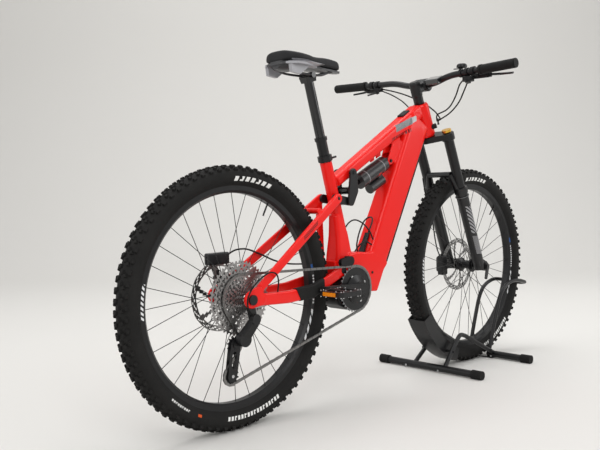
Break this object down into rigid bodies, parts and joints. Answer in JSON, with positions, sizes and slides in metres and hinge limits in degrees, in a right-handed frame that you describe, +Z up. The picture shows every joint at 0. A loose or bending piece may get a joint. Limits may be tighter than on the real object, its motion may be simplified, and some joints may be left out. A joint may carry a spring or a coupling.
{
  "type": "electric mountain bicycle on a floor stand",
  "caption": "Full-suspension electric mountain bicycle held upright by a tubular floor stand that grips its front wheel.",
  "frame": {"origin": "middle of the footprint on the floor", "axes": "+X forwards, from the rear wheel to the front wheel, +Y to the rider's left, +Z up"},
  "size_m": [1.947, 0.78, 1.0938],
  "materials": {
    "red_paint": "gloss",
    "black_metal": "satin",
    "black_plastic": "matte",
    "bare_alloy": "brushed",
    "steel": "brushed",
    "tyre_rubber": "matte",
    "soft_rubber": "matte",
    "saddle_cover": "matte",
    "gold_alloy": "anodised",
    "screen": "gloss",
    "black_stanchion": "gloss"
  },
  "bodies": {
    "frame": {"head_tube": "red_paint", "down_tube": "red_paint", "top_tube": "red_paint", "seat_tube": "red_paint", "battery": "black_plastic", "battery_cover": "black_plastic", "drive_unit": "black_plastic", "dropper_outer": "black_metal", "bottle_cage": "black_metal", "chain_guide": "black_plastic", "frame_fittings": "black_plastic", "chain_front": "steel"},
    "steering": {"fork_crown": "black_metal", "stem": "black_metal", "handlebar": "black_metal", "grips": "soft_rubber", "bar_controls": "black_plastic", "display": "screen", "bell": "black_metal", "front_hoses": "soft_rubber"},
    "brake_lever_right": {"brake_lever_right": "black_metal"},
    "brake_lever_left": {"brake_lever_left": "black_metal"},
    "shift_lever": {"shift_lever": "black_plastic"},
    "remote_lever": {"remote_lever": "black_metal"},
    "bell_striker": {"bell_striker": "black_metal"},
    "compression_knob": {"compression_knob": "gold_alloy"},
    "fork_lower": {"fork_lowers": "black_metal", "front_caliper": "black_metal"},
    "front_wheel": {"front_tyre": "tyre_rubber", "front_rim": "black_metal", "front_hub": "black_metal", "front_rotor": "steel"},
    "rear_wheel": {"rear_tyre": "tyre_rubber", "rear_rim": "black_metal", "rear_hub": "black_metal", "rear_rotor": "steel"},
    "cassette": {"cassette": "bare_alloy"},
    "swingarm": {"chainstays": "red_paint", "seatstays": "red_paint", "rear_fittings": "black_metal", "derailleur": "black_metal", "rear_hoses": "soft_rubber", "chain_rear": "steel"},
    "upper_jockey": {"upper_jockey": "black_plastic"},
    "lower_jockey": {"lower_jockey": "black_plastic"},
    "crankset": {"crankset": "black_metal"},
    "pedal_right": {"pedal_right": "black_metal"},
    "pedal_left": {"pedal_left": "black_metal"},
    "link": {"link": "black_metal"},
    "rocker": {"rocker": "black_metal"},
    "shock_body": {"shock_body": "black_metal"},
    "shock_shaft": {"shock_shaft": "black_stanchion"},
    "saddle": {"seatpost": "black_stanchion", "saddle_base": "black_plastic", "saddle_pad": "saddle_cover"},
    "stand": {"stand_base": "black_metal", "stand_caps": "soft_rubber", "stand_frame": "black_metal", "stand_trough": "black_metal"}
  },
  "joints": [
    {"name": "steering_turn", "type": "hinge", "parent": "frame", "child": "steering", "pos_m": [0.30254, 0, 0.915], "axis": [-0.3827, 0, 0.9239], "range_deg": [-55, 55]},
    {"name": "brake_right", "type": "hinge", "parent": "steering", "child": "brake_lever_right", "pos_m": [0.31984, -0.264, 1.04882], "axis": [0, 0, -1], "range_deg": [0, 18], "stiffness_Nm_per_rad": 1, "springref_deg": -8.59},
    {"name": "brake_left", "type": "hinge", "parent": "steering", "child": "brake_lever_left", "pos_m": [0.31984, 0.264, 1.04882], "axis": [0, 0, 1], "range_deg": [0, 18], "stiffness_Nm_per_rad": 1, "springref_deg": -8.59},
    {"name": "shift_push", "type": "hinge", "parent": "steering", "child": "shift_lever", "pos_m": [0.29184, -0.196, 1.02732], "axis": [0, 0, 1], "range_deg": [0, 20], "stiffness_Nm_per_rad": 0.5, "springref_deg": -8.59},
    {"name": "remote_push", "type": "hinge", "parent": "steering", "child": "remote_lever", "pos_m": [0.28184, 0.196, 1.03132], "axis": [0, 0, -1], "range_deg": [0, 18], "stiffness_Nm_per_rad": 0.5, "springref_deg": -8.59},
    {"name": "bell_ring", "type": "hinge", "parent": "steering", "child": "bell_striker", "pos_m": [0.28996, -0.164, 1.07679], "axis": [0, 0, 1], "range_deg": [0, 15], "stiffness_Nm_per_rad": 0.05, "springref_deg": -11.46},
    {"name": "compression_turn", "type": "hinge", "parent": "steering", "child": "compression_knob", "pos_m": [0.35126, -0.067, 0.86793], "axis": [-0.3827, 0, 0.9239], "range_deg": [0, 180]},
    {"name": "fork_travel", "type": "slide", "parent": "steering", "child": "fork_lower", "axis": [-0.3827, 0, 0.9239], "range_m": [0, 0.11], "stiffness_N_per_m": 6000, "springref_m": -0.03},
    {"name": "front_wheel_spin", "type": "hinge", "parent": "fork_lower", "child": "front_wheel", "pos_m": [0.5755, 0, 0.371], "axis": [0, 1, 0], "continuous": true},
    {"name": "stand_drop", "type": "slide", "parent": "fork_lower", "child": "stand", "axis": [0, 0, -1], "range_m": [0, 0.35]},
    {"name": "swingarm_travel", "type": "hinge", "parent": "frame", "child": "swingarm", "pos_m": [-0.1875, 0, 0.415], "axis": [0, 1, 0], "range_deg": [0, 15], "stiffness_Nm_per_rad": 400, "springref_deg": -20.05},
    {"name": "rocker_turn", "type": "hinge", "parent": "frame", "child": "rocker", "pos_m": [-0.1245, 0, 0.721], "axis": [0, -1, 0], "range_deg": [0, 41]},
    {"name": "link_turn", "type": "hinge", "parent": "swingarm", "child": "link", "pos_m": [-0.2015, 0, 0.641], "axis": [0, -1, 0], "range_deg": [0, 27]},
    {"name": "shock_swing", "type": "hinge", "parent": "frame", "child": "shock_body", "pos_m": [0.08892, 0, 0.76438], "axis": [0, -1, 0], "range_deg": [0, 1]},
    {"name": "shock_stroke", "type": "slide", "parent": "shock_body", "child": "shock_shaft", "axis": [0.9018, 0, 0.4321], "range_m": [0, 0.045]},
    {"name": "rear_wheel_spin", "type": "hinge", "parent": "swingarm", "child": "rear_wheel", "pos_m": [-0.6025, 0, 0.371], "axis": [0, 1, 0], "continuous": true},
    {"name": "crank_spin", "type": "hinge", "parent": "frame", "child": "crankset", "pos_m": [-0.1405, 0, 0.353], "axis": [0, 1, 0], "continuous": true},
    {"name": "cassette_spin", "type": "hinge", "parent": "swingarm", "child": "cassette", "pos_m": [-0.6025, 0, 0.371], "axis": [0, 1, 0], "continuous": true},
    {"name": "upper_jockey_spin", "type": "hinge", "parent": "swingarm", "child": "upper_jockey", "pos_m": [-0.6325, 0, 0.247], "axis": [0, 1, 0], "continuous": true},
    {"name": "lower_jockey_spin", "type": "hinge", "parent": "swingarm", "child": "lower_jockey", "pos_m": [-0.6465, 0, 0.163], "axis": [0, 1, 0], "continuous": true},
    {"name": "pedal_right_spin", "type": "hinge", "parent": "crankset", "child": "pedal_right", "pos_m": [-0.31009, -0.142, 0.36486], "axis": [0, 1, 0], "continuous": true},
    {"name": "pedal_left_spin", "type": "hinge", "parent": "crankset", "child": "pedal_left", "pos_m": [0.02909, 0.142, 0.34114], "axis": [0, 1, 0], "continuous": true},
    {"name": "dropper_travel", "type": "slide", "parent": "frame", "child": "saddle", "axis": [0.2773, 0, -0.9608], "range_m": [0, 0.15], "stiffness_N_per_m": 100, "springref_m": -0.5}
  ],
  "couplings": [
    {"joint": "rocker_turn", "follows": "swingarm_travel", "ratio": 2.521},
    {"joint": "link_turn", "follows": "swingarm_travel", "ratio": 1.6326},
    {"joint": "shock_swing", "follows": "swingarm_travel", "ratio": 0.0514},
    {"joint": "shock_stroke", "follows": "swingarm_travel", "m_per_rad": 0.1394},
    {"joint": "cassette_spin", "follows": "crank_spin", "ratio": 1.0909},
    {"joint": "upper_jockey_spin", "follows": "crank_spin", "ratio": -3},
    {"joint": "lower_jockey_spin", "follows": "crank_spin", "ratio": 3}
  ]
}
